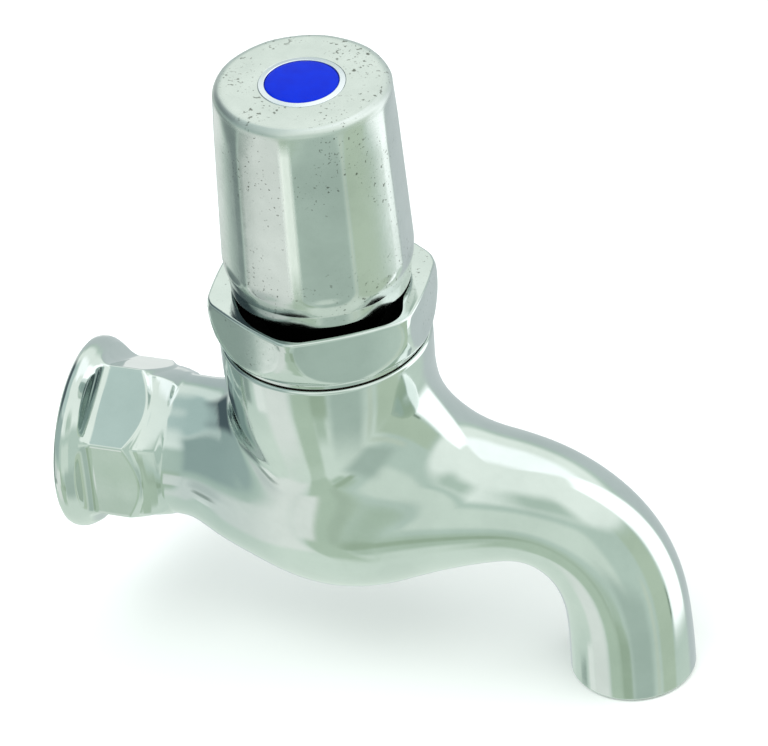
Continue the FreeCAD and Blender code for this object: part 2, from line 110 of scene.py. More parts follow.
def rounded(points, steps):
    """Corners given as (r, z, rounding) become short curves; a rounding of 0 keeps the corner."""
    # A curve takes no more than this share of a side
    most = 0.46
    outline = []
    for i, (r, z, size) in enumerate(points):
        corner = np.array((r, z), float)
        if size == 0:
            outline.append(corner)
            continue
        before = np.array(points[i - 1][:2], float) - corner
        after = np.array(points[(i + 1) % len(points)][:2], float) - corner
        start = corner + before * min(most, size / max(np.linalg.norm(before), NEAR_ZERO))
        end = corner + after * min(most, size / max(np.linalg.norm(after), NEAR_ZERO))
        for t in np.linspace(0, 1, steps + 1):
            outline.append((1 - t) ** 2 * start + 2 * t * (1 - t) * corner + t * t * end)
    return np.array(outline)


def quarter_turns(count):
    """Even angles over a quarter turn, without the first."""
    return np.linspace(0, math.pi / 2, count + 1)[1:]


def polygon_radius(angle, reaches, soft, first=0.0):
    """Distance to a polygon with eased corners; its sides have the given reaches from the axis."""
    radius = None
    for k, reach in enumerate(reaches):
        facing = np.cos(angle - first - k * TAU / len(reaches))
        side = np.where(facing > 0.3, reach / np.maximum(facing, 0.3), 99.0)
        radius = side if radius is None else smooth_min(radius, side, soft)
    return radius


# Meshes
def turned_rows(profile, count):
    """The outline that profile(angle) gives as (r, z), at even steps round the spindle's axis."""
    rows = []
    for angle in TAU * np.arange(count) / count:
        outline = profile(angle)
        x = SPINDLE + outline[:, 0] * math.cos(angle)
        y = outline[:, 0] * math.sin(angle)
        rows.append(np.stack([x, y, outline[:, 1]], 1))
    return np.array(rows)


def grid_mesh(rows, wrap_rows=True, wrap_columns=True):
    """Points and quads of a grid; the last row and column are joined to the first unless told not to."""
    n, m = rows.shape[:2]
    row_numbers = np.arange(n if wrap_rows else n - 1)
    column_numbers = np.arange(m if wrap_columns else m - 1)
    i, j = np.meshgrid(row_numbers, column_numbers, indexing="ij")
    next_i = (i + 1) % n
    next_j = (j + 1) % m
    corners = [i * m + j, next_i * m + j, next_i * m + next_j, i * m + next_j]
    return rows.reshape(-1, 3), np.stack(corners, -1).reshape(-1, 4)


def clean(verts, faces):
    """Merges equal points and drops what that leaves without area."""
    keys = np.round(verts / SAME_PLACE).astype(np.int64)
    _, first, back = np.unique(keys, axis=0, return_index=True, return_inverse=True)
    back = back.reshape(-1)
    kept = []
    for face in faces:
        ring = [back[v] for v in face]
        ring = [v for k, v in enumerate(ring) if v != ring[k - 1]]
        if len(set(ring)) == len(ring) and len(ring) > 2:
            kept.append(ring)
    return verts[first], kept


def faces_by_size(faces):
    """The triangles, then the quads, each as one array."""
    for size in (3, 4):
        some = np.array([face for face in faces if len(face) == size])
        if len(some) > 0:
            yield some


def area_normals(verts, faces):
    """Vertex normals weighted by face area, so that small bevels leave the flats flat."""
    normals = np.zeros_like(verts)
    for some in faces_by_size(faces):
        a, b, c, last = (verts[some[:, k]] for k in (0, 1, 2, -1))
        if some.shape[1] == 3:
            area = np.cross(b - a, c - a)
        else:
            area = np.cross(c - a, last - b)
        for column in some.T:
            np.add.at(normals, column, area)
    return unit(normals)


def volume_of(verts, faces):
    total = 0.0
    for some in faces_by_size(faces):
        a = verts[some[:, 0]]
        for k in range(1, some.shape[1] - 1):
            b = verts[some[:, k]]
            c = verts[some[:, k + 1]]
            total += np.einsum("ij,ij->i", a, np.cross(b, c)).sum() / 6
    return total


def mesh_piece(name, verts, faces, material, body, stands_for, normals=None):
    """Makes a visible piece from points in millimetres; normals(verts, rough) may better its normals."""
    verts, faces = clean(np.asarray(verts, float), faces)
    if volume_of(verts, faces) < 0:
        faces = [face[::-1] for face in faces]
    directions = area_normals(verts, faces)
    if normals is not None:
        directions = normals(verts, directions)
    mesh = bpy.data.meshes.new(name)
    mesh.from_pydata((verts * MM).tolist(), [], faces)
    mesh.polygons.foreach_set("use_smooth", [True] * len(mesh.polygons))
    mesh.normals_split_custom_set_from_vertices(directions.tolist())
    mesh.materials.append(material)
    piece = bpy.data.objects.new(name, mesh)
    bpy.context.scene.collection.objects.link(piece)
    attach(piece, body)
    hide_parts(*stands_for)
    return piece


# Nodes of the materials and of the surround
def feed(tree, socket, value):
    """Links an output to the socket, or sets a fixed number or colour on it."""
    if isinstance(value, bpy.types.NodeSocket):
        tree.links.new(value, socket)
    elif isinstance(value, tuple):
        socket.default_value = (*value, 1)
    else:
        socket.default_value = value


def source_of(socket):
    """The output that is linked to the socket."""
    return socket.links[0].from_socket


def math_node(tree, operation, *values):
    node = tree.nodes.new("ShaderNodeMath")
    node.operation = operation
    for socket, value in zip(node.inputs, values):
        feed(tree, socket, value)
    return node.outputs[0]


def product(tree, *values):
    result = values[0]
    for value in values[1:]:
        result = math_node(tree, "MULTIPLY", result, value)
    return result


def vector_node(tree, operation, output, *vectors):
    node = tree.nodes.new("ShaderNodeVectorMath")
    node.operation = operation
    for socket, vector in zip(node.inputs, vectors):
        tree.links.new(vector, socket)
    return node.outputs[output]


def spread(tree, value, low, high, out_low=0.0, out_high=1.0, curve="LINEAR"):
    """Carries the range from low to high over to the range of the outputs and holds it there."""
    node = tree.nodes.new("ShaderNodeMapRange")
    node.interpolation_type = curve
    node.inputs["From Min"].default_value = low
    node.inputs["From Max"].default_value = high
    node.inputs["To Min"].default_value = out_low
    node.inputs["To Max"].default_value = out_high
    tree.links.new(value, node.inputs["Value"])
    return node.outputs["Result"]


def blend(tree, share, under, over):
    """Lays a colour over another one by a linked share."""
    node = tree.nodes.new("ShaderNodeMix")
    node.data_type = "RGBA"
    tree.links.new(share, node.inputs["Factor"])
    lower, upper = (socket for socket in node.inputs if socket.type == "RGBA")
    feed(tree, lower, under)
    feed(tree, upper, over)
    return next(socket for socket in node.outputs if socket.type == "RGBA")


def noise(tree, place, scale, detail, roughness):
    """Noise with about scale cells to a metre."""
    node = tree.nodes.new("ShaderNodeTexNoise")
    node.inputs["Scale"].default_value = scale
    node.inputs["Detail"].default_value = detail
    node.inputs["Roughness"].default_value = roughness
    tree.links.new(place, node.inputs["Vector"])
    return node.outputs["Fac"]


def ramp(tree, value, *stops):
    """Colour between two stops, each given as (value, colour)."""
    node = tree.nodes.new("ShaderNodeValToRGB")
    for element, (position, color) in zip(node.color_ramp.elements, stops):
        element.position = position
        element.color = (*color, 1)
    tree.links.new(value, node.inputs["Fac"])
    return node.outputs["Color"]


def bump(tree, height, strength, distance, under=None):
    node = tree.nodes.new("ShaderNodeBump")
    node.inputs["Strength"].default_value = strength
    node.inputs["Distance"].default_value = distance
    tree.links.new(height, node.inputs["Height"])
    if under is not None:
        tree.links.new(under, node.inputs["Normal"])
    return node.outputs["Normal"]


def object_place(tree):
    return tree.nodes.new("ShaderNodeTexCoord").outputs["Object"]


def parts_of(tree, vector):
    """The x, y and z of a linked vector."""
    node = tree.nodes.new("ShaderNodeSeparateXYZ")
    tree.links.new(vector, node.inputs[0])
    return node.outputs["X"], node.outputs["Y"], node.outputs["Z"]


def from_spindle(tree, place):
    """The level vector from the spindle's axis to the place."""
    node = tree.nodes.new("ShaderNodeMapping")
    node.inputs["Location"].default_value = (-SPINDLE * MM, 0, 0)
    node.inputs["Scale"].default_value = (1, 1, 0)
    tree.links.new(place, node.inputs["Vector"])
    return node.outputs["Vector"]


# Materials
PIT_COLOR = (0.10, 0.11, 0.09)
# Painted shade on the barrel between the inlet and the bowl
BARREL_SHADE_COLOR = (0.36, 0.46, 0.46)
# Painted highlight on the handle's front arris
ARRIS_HIGHLIGHT_COLOR = (0.68, 0.71, 0.67)
# Painted shade at the front left of the handle's foot
FOOT_SHADE_COLOR = (0.15, 0.20, 0.20)
# Painted shade for the faces inside the bonnet's well
WELL_SHADE_COLOR = (0.012, 0.012, 0.011)
WELL_ROUGHNESS = (0.6, 0.6, 0.6)
RUBBED_ROUGHNESS = (0.42, 0.42, 0.42)


def new_material(name):
    material = bpy.data.materials.new(name)
    material.use_nodes = True
    tree = material.node_tree
    return material, tree, tree.nodes["Principled BSDF"]


def tree_and_shader(material):
    return material.node_tree, material.node_tree.nodes["Principled BSDF"]


def pitted(tree, place, tint, strength):
    """Sparse dark pits in patches."""
    specks = spread(tree, noise(tree, place, 1700, 2, 0.5), 0.64, 0.71)
    patches = spread(tree, noise(tree, place, 75, 2, 0.5), 0.48, 0.58, 0.0, strength)
    return blend(tree, product(tree, specks, patches), tint, PIT_COLOR)


def chrome(name, bright, dim, rough_low, rough_high, wave, grain, pits=0.0):
    """Plated metal: slow polishing waves, fine grain in the gloss, a faint clouded tint and sparse pits."""
    material, tree, shader = new_material(name)
    place = object_place(tree)
    tint = ramp(tree, noise(tree, place, 90, 5, 0.6), (0.36, dim), (0.62, bright))
    if pits > 0:
        tint = pitted(tree, place, tint, pits)
    tree.links.new(tint, shader.inputs["Base Color"])
    gloss = spread(tree, noise(tree, place, 420, 6, 0.65), 0.3, 0.72, rough_low, rough_high)
    tree.links.new(gloss, shader.inputs["Roughness"])
    shader.inputs["Metallic"].default_value = 1.0
    slow = bump(tree, noise(tree, place, 70, 2, 0.4), wave, 0.4 * MM)
    fine = bump(tree, noise(tree, place, 1500, 3, 0.6), grain, 0.02 * MM, slow)
    tree.links.new(fine, shader.inputs["Normal"])
    return material


def plain(name, light, dark, rough, scale, depth):
    """Mottled matt stuff with a fine grain of the given depth."""
    material, tree, shader = new_material(name)
    place = object_place(tree)
    mottle = noise(tree, place, scale, 5, 0.6)
    tree.links.new(ramp(tree, mottle, (0.35, dark), (0.65, light)), shader.inputs["Base Color"])
    gloss = spread(tree, mottle, 0.3, 0.7, rough - 0.06, rough + 0.06)
    tree.links.new(gloss, shader.inputs["Roughness"])
    tree.links.new(bump(tree, noise(tree, place, scale * 4, 4, 0.55), 0.4, depth), shader.inputs["Normal"])
    return material


def shade_barrel(material):
    """Painted shade: a bluer, darker tint on the barrel between the inlet and the bowl."""
    tree, shader = tree_and_shader(material)
    from_wall = parts_of(tree, object_place(tree))[0]
    barrel_shade = product(tree, spread(tree, from_wall, 15 * MM, 23 * MM),
                   spread(tree, from_wall, 30 * MM, 43 * MM, 0.40, 0.0))
    tint = blend(tree, barrel_shade, source_of(shader.inputs["Base Color"]), BARREL_SHADE_COLOR)
    tree.links.new(tint, shader.inputs["Base Color"])


def shade_well(material):
    """Painted shade: near-black, dull metal on the faces inside the bonnet, which look toward the spindle's
    axis.
    """
    tree, shader = tree_and_shader(material)
    level = from_spindle(tree, object_place(tree))
    distance = vector_node(tree, "LENGTH", "Value", level)
    outward = vector_node(tree, "NORMALIZE", "Vector", level)
    facing = tree.nodes.new("ShaderNodeTexCoord").outputs["Normal"]
    turned_out = vector_node(tree, "DOT_PRODUCT", "Value", outward, facing)
    inside = math_node(tree, "MAXIMUM", spread(tree, distance, 15.0 * MM, 15.2 * MM, 1.0, 0.0),
                       spread(tree, turned_out, -0.5, -0.25, 1.0, 0.0))
    for name, dull in (("Base Color", WELL_SHADE_COLOR), ("Roughness", WELL_ROUGHNESS)):
        socket = shader.inputs[name]
        tree.links.new(blend(tree, inside, source_of(socket), dull), socket)


def rub_edge(tree, shader, level, height):
    """Duller metal on the rounded edge of the handle's top."""
    distance = vector_node(tree, "LENGTH", "Value", level)
    edge = product(tree, spread(tree, distance, 13.3 * MM, 14.6 * MM),
                   spread(tree, height, 80.8 * MM, 82.0 * MM))
    rough = shader.inputs["Roughness"]
    tree.links.new(blend(tree, edge, source_of(rough), RUBBED_ROUGHNESS), rough)


def paint_arris_highlight(tree, shader, tint, bearing, height):
    """Painted highlight: a pale, mostly unmetallic line on the one arris of the handle that faces the
    front.
    """
    half_a_flat = math.radians(18)
    first_arris = math.radians(-48)
    from_arris = math_node(tree, "PINGPONG", math_node(tree, "ADD", bearing, -first_arris), half_a_flat)
    highlight = product(tree, spread(tree, from_arris, math.radians(2.2), math.radians(4.6), 0.9, 0.0),
                   spread(tree, height, 48 * MM, 56 * MM),
                   spread(tree, height, 78 * MM, 81 * MM, 1.0, 0.0),
                   spread(tree, bearing, math.radians(-108), math.radians(-98)),
                   spread(tree, bearing, math.radians(-70), math.radians(-60), 1.0, 0.0))
    tree.links.new(spread(tree, highlight, 0.0, 1.0, 1.0, 0.1), shader.inputs["Metallic"])
    return blend(tree, highlight, tint, ARRIS_HIGHLIGHT_COLOR)


def shade_foot(tree, tint, place, level, bearing, height):
    """Painted shade round the front left of the handle's foot, broken up by noise."""
    across = parts_of(tree, level)[0]
    sideways = math_node(tree, "SINE", bearing)
    foot_shade = product(tree, spread(tree, height, 45.5 * MM, 50.0 * MM, 1.0, 0.0),
                    spread(tree, noise(tree, place, 60, 4, 0.6), 0.34, 0.52, 0.7, 1.0),
                    spread(tree, across, 2 * MM, -7 * MM),
                    spread(tree, sideways, 0.3, -0.3))
    return blend(tree, foot_shade, tint, FOOT_SHADE_COLOR)


def pit_top(tree, tint, place, height):
    """Clusters of pits in the handle's top face."""
    specks = spread(tree, noise(tree, place, 1100, 2, 0.5), 0.60, 0.66)
    clusters = spread(tree, noise(tree, place, 120, 2, 0.5), 0.49, 0.57, 0.0, 0.8)
    top = spread(tree, height, 82.2 * MM, 82.7 * MM)
    return blend(tree, product(tree, specks, clusters, top), tint, PIT_COLOR)


def handle_wear_and_painted_light(material):
    """Traces of use on the handle, with a painted highlight on its front arris and painted shade at its
    foot.
    """
    tree, shader = tree_and_shader(material)
    place = object_place(tree)
    height = parts_of(tree, place)[2]
    level = from_spindle(tree, place)
    across, deep, _ = parts_of(tree, level)
    bearing = math_node(tree, "ARCTAN2", deep, across)
    color = shader.inputs["Base Color"]
    rub_edge(tree, shader, level, height)
    tint = paint_arris_highlight(tree, shader, source_of(color), bearing, height)
    tint = shade_foot(tree, tint, place, level, bearing, height)
    tint = pit_top(tree, tint, place, height)
    tree.links.new(tint, color)


body_chrome = chrome("chrome_body", (0.68, 0.74, 0.71), (0.63, 0.69, 0.66), 0.05, 0.11, 0.12, 0.1)
shade_barrel(body_chrome)
bonnet_chrome = chrome("chrome_bonnet", (0.67, 0.73, 0.70), (0.61, 0.67, 0.64), 0.06, 0.14, 0.12, 0.15, 0.6)
shade_well(bonnet_chrome)
handle_chrome = chrome("chrome_handle", (0.68, 0.73, 0.70), (0.61, 0.66, 0.63), 0.10, 0.20, 0.05, 0.3, 0.8)
handle_wear_and_painted_light(handle_chrome)
trim_chrome = chrome("chrome_trim", (0.84, 0.87, 0.92), (0.80, 0.84, 0.89), 0.20, 0.28, 0.05, 0.3)
brass = chrome("brass", (0.80, 0.63, 0.33), (0.70, 0.52, 0.26), 0.18, 0.34, 0.1, 0.5)
steel = chrome("steel", (0.68, 0.69, 0.70), (0.58, 0.59, 0.60), 0.22, 0.36, 0.1, 0.5)
fibre = plain("fibre", (0.085, 0.045, 0.038), (0.055, 0.032, 0.028), 0.8, 900, 0.04 * MM)
packing = plain("packing", (0.09, 0.09, 0.09), (0.05, 0.05, 0.05), 0.75, 900, 0.06 * MM)
rubber = plain("rubber", (0.05, 0.05, 0.055), (0.03, 0.03, 0.032), 0.6, 500, 0.03 * MM)
nylon = plain("nylon", (0.84, 0.84, 0.80), (0.76, 0.76, 0.71), 0.45, 500, 0.02 * MM)
blue = plain("blue_plastic", (0.001, 0.022, 0.54), (0.001, 0.016, 0.47), 0.34, 300, 0.002 * MM)
blue.node_tree.nodes["Principled BSDF"].inputs["Specular IOR Level"].default_value = 0.08


# Body: a swept spout and barrel joined smoothly to the neck
# Stations along the centre line: x, z, half height, half width
STATIONS = [
    (2.0, 0.3, 12.65, 12.7), (14.2, 0.3, 12.65, 12.7), (20.5, 0.25, 12.6, 12.65), (23.2, 0.1, 12.8, 12.8),
    (28.4, -0.5, 14.5, 14.3), (38.5, -2.5, 17.0, 16.2), (48.3, -4.5, 18.15, 17.1), (60.3, -3.1, 16.2, 15.8),
    (73.3, -1.4, 12.85, 13.4), (85.9, -1.9, 10.8, 11.4), (95.6, -8.6, 10.85, 10.6),
    (99.9, -18.0, 11.0, 10.75), (100.9, -26.4, 11.1, 10.95), (101.1, -35.2, 11.25, 11.25),
    (101.1, -46.0, 11.3, 11.3),
]
# Neck: height and radius
NECK = [(-12.0, 15.5), (-4.0, 15.5), (4.0, 15.7), (14.0, 17.4), (24.0, 18.6), (31.0, 18.7), (40.0, 18.7)]
NECK_BOTTOM = -5.0
NECK_TOP = 30.9
NECK_CUT = NECK_TOP - 0.6
OUTLET = -35.2
OUTLET_CENTRE = 101.1
LIP = 0.45
LIP_TOP = OUTLET + LIP
INLET_CUT = 15.0
# The rough tube leaves out points at both ends of the centre line and takes every eleventh between
TUBE_POINTS = slice(80, -26, 11)
SIDES = 40
VOXEL = 0.75
# Every 24th point of the centre line serves to find the nearest one
COARSE = 24


def running_length(points):
    """Length along a line of points, from its first one."""
    steps = np.linalg.norm(np.diff(points, axis=0), axis=1)
    return np.concatenate([[0], np.cumsum(steps)])


def centre_line(count=1200):
    """Length, station, direction and turning at even steps along the tube."""
    stations = np.array(STATIONS)
    along = running_length(stations[:, :2])
    at = np.linspace(0, along[-1], count)
    length = running_length(spline_through(along, stations, at)[:, :2])
    even = np.linspace(0, length[-1], count)
    line = spline_through(along, stations, np.interp(even, length, at))
    tangent = unit(np.gradient(line[:, :2], even, axis=0))
    turning = np.gradient(np.unwrap(np.arctan2(tangent[:, 1], tangent[:, 0])), even)
    return even, line, tangent, turning


LENGTH, LINE, TANGENT, TURNING = centre_line()
NECK_AT = np.linspace(-12, 40, 521)
NECK_RADIUS = spline_through([z for z, r in NECK], [(r,) for z, r in NECK], NECK_AT)[:, 0]


def spout_field(p):
    """Signed distance, near enough, to the tube of ellipses square to the centre line."""
    flat = p[:, [0, 2]]
    coarse = LINE[::COARSE, :2]
    nearest = ((flat[:, None] - coarse[None]) ** 2).sum(2).argmin(1)
    s = LENGTH[::COARSE][nearest]
    for _ in range(5):
        dx = flat[:, 0] - np.interp(s, LENGTH, LINE[:, 0])
        dz = flat[:, 1] - np.interp(s, LENGTH, LINE[:, 1])
        tx = np.interp(s, LENGTH, TANGENT[:, 0])
        tz = np.interp(s, LENGTH, TANGENT[:, 1])
        up = tx * dz - tz * dx
        bend = np.interp(s, LENGTH, TURNING)
        ahead = (dx * tx + dz * tz) / np.maximum(1 - bend * up, 0.3)
        s = np.clip(s + np.clip(ahead, -3, 3), 0, LENGTH[-1])
    half_height = np.interp(s, LENGTH, LINE[:, 2])
    half_width = np.interp(s, LENGTH, LINE[:, 3])
    side = p[:, 1]
    reach = np.sqrt((up / half_height) ** 2 + (side / half_width) ** 2)
    slope = np.sqrt(up ** 2 / half_height ** 4 + side ** 2 / half_width ** 4)
    slope = slope / np.maximum(reach, NEAR_ZERO)
    return (reach - 1) / np.maximum(slope, NEAR_ZERO)


def neck_field(p):
    radius = np.interp(p[:, 2], NECK_AT, NECK_RADIUS)
    side = np.hypot(p[:, 0] - SPINDLE, p[:, 1]) - radius
    return smooth_max(side, NECK_BOTTOM - p[:, 2], 3.0)


def body_field(p):
    """Signed distance to the cast body, with a fuller blend where the neck runs into the spout."""
    fuller = smoothstep(SPINDLE - 2, SPINDLE + 22, p[:, 0]) * smoothstep(-4, 8, p[:, 2])
    return smooth_min(spout_field(p), neck_field(p), 4.0 + 11.0 * fuller)


def field_gradient(p, step=0.04):
    slope = np.empty_like(p)
    for k in range(3):
        shift = np.zeros(3)
        shift[k] = step
        slope[:, k] = (body_field(p + shift) - body_field(p - shift)) / (2 * step)
    return slope


def to_surface(p, rounds, longest=1.0):
    """Moves the points onto the body's surface, by no more than the longest step in a round."""
    for _ in range(rounds):
        slope = field_gradient(p)
        steps = body_field(p) / np.maximum((slope * slope).sum(1), NEAR_ZERO)
        p = p - np.clip(steps, -longest, longest)[:, None] * slope
    return p


def spout_rings():
    theta = TAU * np.arange(SIDES) / SIDES
    rings = []
    for (x, z, a, b), (tx, tz) in zip(LINE[TUBE_POINTS], TANGENT[TUBE_POINTS]):
        up = a * np.cos(theta)
        rings.append(np.stack([x - tz * up, b * np.sin(theta), z + tx * up], 1))
    return rings


def neck_rings():
    theta = TAU * np.arange(SIDES) / SIDES
    rings = []
    for z in np.linspace(-3, 36, 40):
        r = np.interp(z, NECK_AT, NECK_RADIUS)
        rings.append(np.stack([SPINDLE + r * np.cos(theta), r * np.sin(theta), np.full(SIDES, z)], 1))
    return rings


def tube_faces(count, base):
    """Faces between neighbouring rings, the first of which starts at base, with both ends closed."""
    faces = []
    for i in range(count - 1):
        low = base + i * SIDES
        high = low + SIDES
        for j in range(SIDES):
            k = (j + 1) % SIDES
            faces.append([low + j, low + k, high + k, high + j])
    last = base + (count - 1) * SIDES
    faces.append([base + j for j in reversed(range(SIDES))])
    faces.append([last + j for j in range(SIDES)])
    return faces


def voxel_mesh(verts, faces):
    """Points, edges and faces of the even skin round the closed tubes."""
    mesh = bpy.data.meshes.new("rough")
    mesh.from_pydata((np.array(verts) * MM).tolist(), [], faces)
    bm = bmesh.new()
    bm.from_mesh(mesh)
    bmesh.ops.recalc_face_normals(bm, faces=bm.faces)
    bm.to_mesh(mesh)
    bm.free()
    rough = bpy.data.objects.new("rough", mesh)
    bpy.context.scene.collection.objects.link(rough)
    voxel = rough.modifiers.new("voxel", "REMESH")
    voxel.mode = "VOXEL"
    voxel.voxel_size = VOXEL * MM
    bpy.context.view_layer.update()
    made = bpy.data.meshes.new_from_object(rough.evaluated_get(bpy.context.evaluated_depsgraph_get()))
    bpy.data.objects.remove(rough)
    points = np.zeros(len(made.vertices) * 3)
    made.vertices.foreach_get("co", points)
    edges = np.zeros(len(made.edges) * 2, int)
    made.edges.foreach_get("vertices", edges)
    faces = [list(face.vertices) for face in made.polygons]
    bpy.data.meshes.remove(made)
    return points.reshape(-1, 3) / MM, edges.reshape(-1, 2), faces


def rough_body():
    """Swept tube and neck as one voxel mesh, the start for the exact surface."""
    verts = []
    faces = []
    for rings in (spout_rings(), neck_rings()):
        faces += tube_faces(len(rings), len(verts))
        for ring in rings:
            verts.extend(ring)
    return voxel_mesh(verts, faces)


def relaxed(points, edges):
    """Evens the mesh out along the surface, then puts it back on it."""
    count = np.zeros(len(points))
    np.add.at(count, edges.ravel(), 1)
    for _ in range(6):
        total = np.zeros_like(points)
        np.add.at(total, edges[:, 0], points[edges[:, 1]])
        np.add.at(total, edges[:, 1], points[edges[:, 0]])
        points = points + 0.6 * (total / count[:, None] - points)
        points = to_surface(points, 1, np.inf)
    return points


def open_loops(bm):
    """The rings of vertices round the cuts, run against their faces."""
    follow = {}
    for edge in bm.edges:
        if len(edge.link_faces) == 1:
            loop = edge.link_loops[0]
            follow[loop.link_loop_next.vert.index] = loop.vert.index
    loops = []
    while follow:
        first, at = next(iter(follow.items()))
        ring = [first]
        del follow[first]
        while at != first:
            ring.append(at)
            at = follow.pop(at)
        loops.append(ring)
    return loops


def trimmed(points, faces):
    """Cuts the body square at the outlet, the neck's face and inside the inlet's hexagon."""
    mesh = bpy.data.meshes.new("trim")
    mesh.from_pydata(points.tolist(), [], faces)
    bm = bmesh.new()
    bm.from_mesh(mesh)
    cuts = (((0, 0, LIP_TOP), (0, 0, -1)), ((0, 0, NECK_CUT), (0, 0, 1)), ((INLET_CUT, 0, 0), (-1, 0, 0)))
    for spot, normal in cuts:
        bmesh.ops.bisect_plane(bm, geom=bm.verts[:] + bm.edges[:] + bm.faces[:], plane_co=spot,
                               plane_no=normal, clear_outer=True, dist=1e-4)
    bmesh.ops.triangulate(bm, faces=[face for face in bm.faces if len(face.verts) > 4])
    bmesh.ops.recalc_face_normals(bm, faces=bm.faces)
    bm.verts.index_update()
    points = np.array([vert.co[:] for vert in bm.verts])
    faces = [[vert.index for vert in face.verts] for face in bm.faces]
    loops = open_loops(bm)
    bm.free()
    bpy.data.meshes.remove(mesh)
    return points, faces, loops


def add_rows(points, faces, loop, rows):
    """Joins further rings of points to a loop and closes the last one with a fan."""
    base = loop
    points = list(points)
    for row in rows:
        new = list(range(len(points), len(points) + len(base)))
        points.extend(row)
        for k in range(len(base)):
            j = (k + 1) % len(base)
            faces.append([base[k], base[j], new[j], new[k]])
        base = new
    middle = len(points)
    points.append(np.mean([points[k] for k in base], axis=0))
    for k in range(len(base)):
        faces.append([base[k], base[(k + 1) % len(base)], middle])
    return np.array(points), faces


def round_rows(ring, centre, profile):
    """Rings at the loop's own bearings; an entry is (inset from the loop, radius or None, height)."""
    angle = np.arctan2(ring[:, 1], ring[:, 0] - centre)
    own = np.hypot(ring[:, 0] - centre, ring[:, 1])
    rows = []
    for inset, radius, height in profile:
        r = own - inset if radius is None else np.full(len(own), radius)
        rows.append(np.stack([centre + r * np.cos(angle), r * np.sin(angle), np.full(len(r), height)], 1))
    return rows


def outlet_profile():
    """The spout's rounded lip and its bore."""
    bore = [(9.1, 0), (8.85, 0.08), (8.72, 0.3), (8.7, 0.7), (8.7, 4), (8.7, 8), (8.7, 12),
            (8.5, 12.1), (6.7, 12.1), (6.5, 12.3), (6.5, 19)]
    lip = [(LIP * (1 - math.cos(t)), None, LIP_TOP - LIP * math.sin(t)) for t in quarter_turns(6)]
    return lip + [(0, radius, OUTLET + depth) for radius, depth in bore]


def neck_profile():
    """The neck's chamfer, its face and the seat of the bonnet inside it."""
    chamfer = [(0.08, 0.35), (0.25, 0.12), (0.5, 0)]
    inside = [(17.45, NECK_TOP), (17.45, NECK_TOP - 0.9), (14.05, NECK_TOP - 0.9), (14.05, 19.9),
              (13.0, 19.9), (13.0, 8.5), (10.5, 6.0), (10.5, 0.0)]
    edge = [(inset, None, NECK_TOP - drop) for inset, drop in chamfer]
    return edge + [(0, radius, height) for radius, height in inside]


def cast_normals(verts, rough):
    """The field's own normals on the cast skin."""
    on_skin = np.abs(body_field(verts)) < 2e-3
    on_skin &= (verts[:, 2] > LIP_TOP - 1e-3) & (verts[:, 2] < NECK_CUT + 0.01)
    on_skin &= verts[:, 0] > INLET_CUT - 0.1
    return np.where(on_skin[:, None], unit(field_gradient(verts)), rough)


def build_body():
    points, edges, faces = rough_body()
    points = to_surface(points, 4)
    points = relaxed(points, edges)
    points = to_surface(points, 2)
    points, faces, loops = trimmed(points, faces)
    for loop in loops:
        ring = points[loop]
        height = ring[:, 2].mean()
        rows = []
        if height < -20:
            rows = round_rows(ring, OUTLET_CENTRE, outlet_profile())
        elif height > 20:
            rows = round_rows(ring, SPINDLE, neck_profile())
        points, faces = add_rows(points, faces, loop, rows)
    return mesh_piece("tap_body", points, faces, body_chrome, "fixed", ("body",),
                      cast_normals)


# Inlet: flange, hexagon and pipe thread, carried round the inlet's axis
INLET_ANGLES = TAU * np.arange(288) / 288
INLET_RISE = 0.25
THREAD_MINOR = 9.3155
THREAD_MAJOR = 10.45
PITCH = 1.814
HEX_REACH = 13.5
CORNER_HEIGHT = 2.09
FILLET_END = 6.5
FILLET = 2.4
# Flange: distance from the wall and radius
FLARE = [(0.0, 16.3), (0.12, 16.75), (0.4, 17.1), (0.9, 17.32), (1.6, 17.38), (2.3, 17.25), (3.0, 16.95),
         (3.7, 16.5), (4.4, 16.05), (5.2, 15.8), (6.4, 15.7), (8.0, 15.7)]
# Cone that cuts the hexagon's corners at its inner end: distance from the wall and radius
CORNER_CUT = [(8.0, 16.4), (12.3, 15.75), (15.0, 13.5), (18.0, 11.0)]
# Cast run-out into the barrel: distance from the wall, radius and height of the ridges at the corners
RUN_OUT = [(8.0, 13.3, 1.5), (13.0, 13.3, 1.45), (15.0, 13.3, 1.3), (16.2, 13.2, 1.15),
           (17.6, 12.98, 0.9), (19.0, 12.8, 0.5), (20.4, 12.68, 0.12), (22.0, 12.55, 0.0)]


def inlet_outside(x):
    """Radius of the flange, the hexagon and its cast run-out into the barrel."""
    hexagon = polygon_radius(INLET_ANGLES, [HEX_REACH] * 6, 0.25)
    if x < FILLET_END:
        flange = read_table(FLARE, x)
        if x < FILLET_END - FILLET:
            return flange
        rise = FILLET - math.sqrt(FILLET ** 2 - (FILLET_END - x) ** 2)
        return smooth_min(hexagon + rise, flange, 0.35)
    cornered = smooth_min(hexagon, read_table(CORNER_CUT, x), 0.25)
    ridges = read_table(RUN_OUT, x, 2) * (hexagon - HEX_REACH) / CORNER_HEIGHT
    return smooth_max(cornered, read_table(RUN_OUT, x) + ridges, 0.45)


def inlet_row(x, radius, rise=0.0):
    """A ring of points round the inlet's axis."""
    radius = np.broadcast_to(radius, INLET_ANGLES.shape)
    level = np.full(len(INLET_ANGLES), float(x))
    return np.stack([level, radius * np.cos(INLET_ANGLES), radius * np.sin(INLET_ANGLES) + rise], 1)


